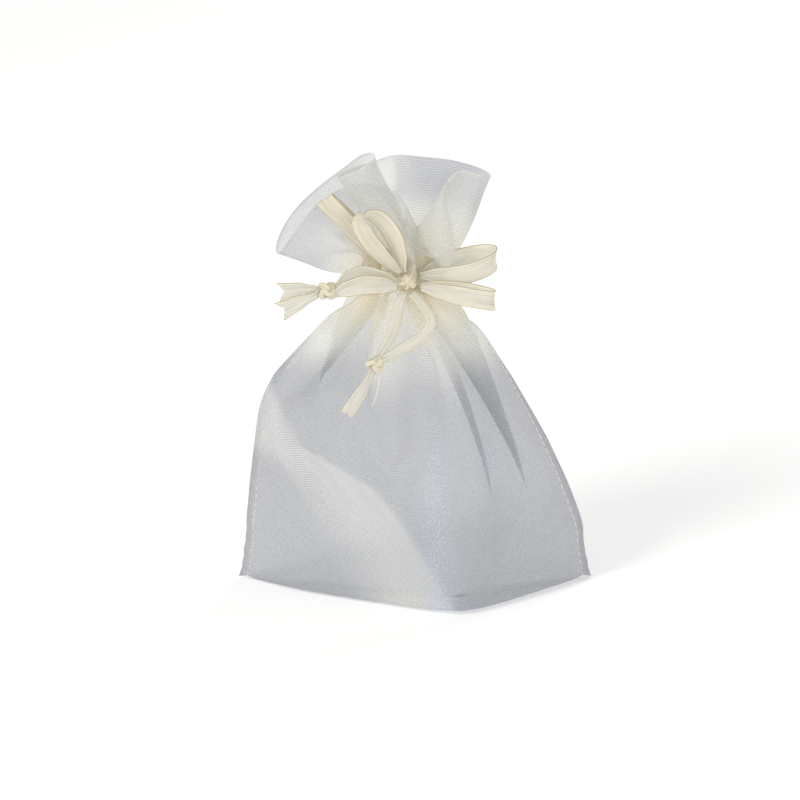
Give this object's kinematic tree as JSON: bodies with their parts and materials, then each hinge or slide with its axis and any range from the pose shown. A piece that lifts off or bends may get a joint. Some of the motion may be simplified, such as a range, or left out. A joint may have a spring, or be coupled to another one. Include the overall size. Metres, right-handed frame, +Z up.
{
  "type": "drawstring gift pouch",
  "caption": "Small sheer ivory organza pouch that stands softly opened, gathered at its casing and tied shut with ribbon drawstrings in a bow with knotted tails",
  "frame": {"origin": "middle of the pouch's bounding box on the surface it stands on", "axes": "+Z up from the floor cloth to the ruffle, +X to the right along the bag's width, -Y out of the front, where the bow is"},
  "size_m": [0.0956, 0.0363, 0.1249],
  "materials": {
    "organza": "satin",
    "gathered_organza": "satin",
    "ribbon": "satin",
    "thread": "matte"
  },
  "bodies": {
    "pouch": {"front_panel": "organza", "back_panel": "organza", "left_side_seam": "gathered_organza", "right_side_seam": "gathered_organza", "bottom_seam": "gathered_organza"},
    "neck": {"casing_outer": "gathered_organza", "casing_inner": "gathered_organza", "casing_stitching_upper": "thread", "casing_stitching_lower": "thread", "drawstring_run_left": "ribbon", "drawstring_run_right": "ribbon", "left_drawstring_lead": "ribbon", "right_drawstring_lead": "ribbon", "bow_knot": "ribbon"},
    "ruffle": {"ruffle_front": "organza", "ruffle_back": "organza", "ruffle_left_seam": "gathered_organza", "ruffle_right_seam": "gathered_organza"},
    "tall_loop": {"tall_loop": "ribbon"},
    "short_loop": {"short_loop": "ribbon"},
    "right_loops": {"right_loop_front": "ribbon", "right_loop_back": "ribbon"},
    "left_tail": {"left_tail_upper": "ribbon", "left_tail_lower": "ribbon", "left_end_knot": "ribbon", "left_tip_upper": "ribbon", "left_tip_lower": "ribbon"},
    "hanging_tail": {"hanging_tail_inner": "ribbon", "hanging_tail_outer": "ribbon", "lower_end_knot": "ribbon", "hanging_tip": "ribbon", "loose_thread": "thread"}
  },
  "joints": [
    {"name": "neck_sway", "type": "hinge", "parent": "pouch", "child": "neck", "pos_m": [-0.004, 0, 0.0878], "axis": [0, 1, 0], "range_deg": [-8, 8], "stiffness_Nm_per_rad": 0.01},
    {"name": "ruffle_flop", "type": "hinge", "parent": "neck", "child": "ruffle", "pos_m": [-0.004, 0, 0.0972], "axis": [-1, 0, 0], "range_deg": [0, 14], "stiffness_Nm_per_rad": 0.004},
    {"name": "tall_loop_flex", "type": "hinge", "parent": "neck", "child": "tall_loop", "pos_m": [-0.002, -0.0106, 0.0954], "axis": [0.7412, 0, 0.6713], "range_deg": [0, 12], "stiffness_Nm_per_rad": 0.0005},
    {"name": "short_loop_flex", "type": "hinge", "parent": "neck", "child": "short_loop", "pos_m": [-0.002, -0.0106, 0.0954], "axis": [0.8911, 0, 0.4538], "range_deg": [0, 14], "stiffness_Nm_per_rad": 0.0005},
    {"name": "right_loops_flex", "type": "hinge", "parent": "neck", "child": "right_loops", "pos_m": [-0.002, -0.0106, 0.0954], "axis": [0, 0, -1], "range_deg": [0, 12], "stiffness_Nm_per_rad": 0.0005},
    {"name": "left_tail_swing", "type": "hinge", "parent": "neck", "child": "left_tail", "pos_m": [-0.002, -0.0106, 0.0954], "axis": [0, -1, 0], "range_deg": [-3, 12], "stiffness_Nm_per_rad": 0.001},
    {"name": "hanging_tail_swing", "type": "hinge", "parent": "neck", "child": "hanging_tail", "pos_m": [-0.002, -0.0106, 0.0954], "axis": [-1, 0, 0], "range_deg": [0, 20]}
  ],
  "couplings": [
    {"joint": "short_loop_flex", "follows": "tall_loop_flex", "ratio": 1.1}
  ]
}
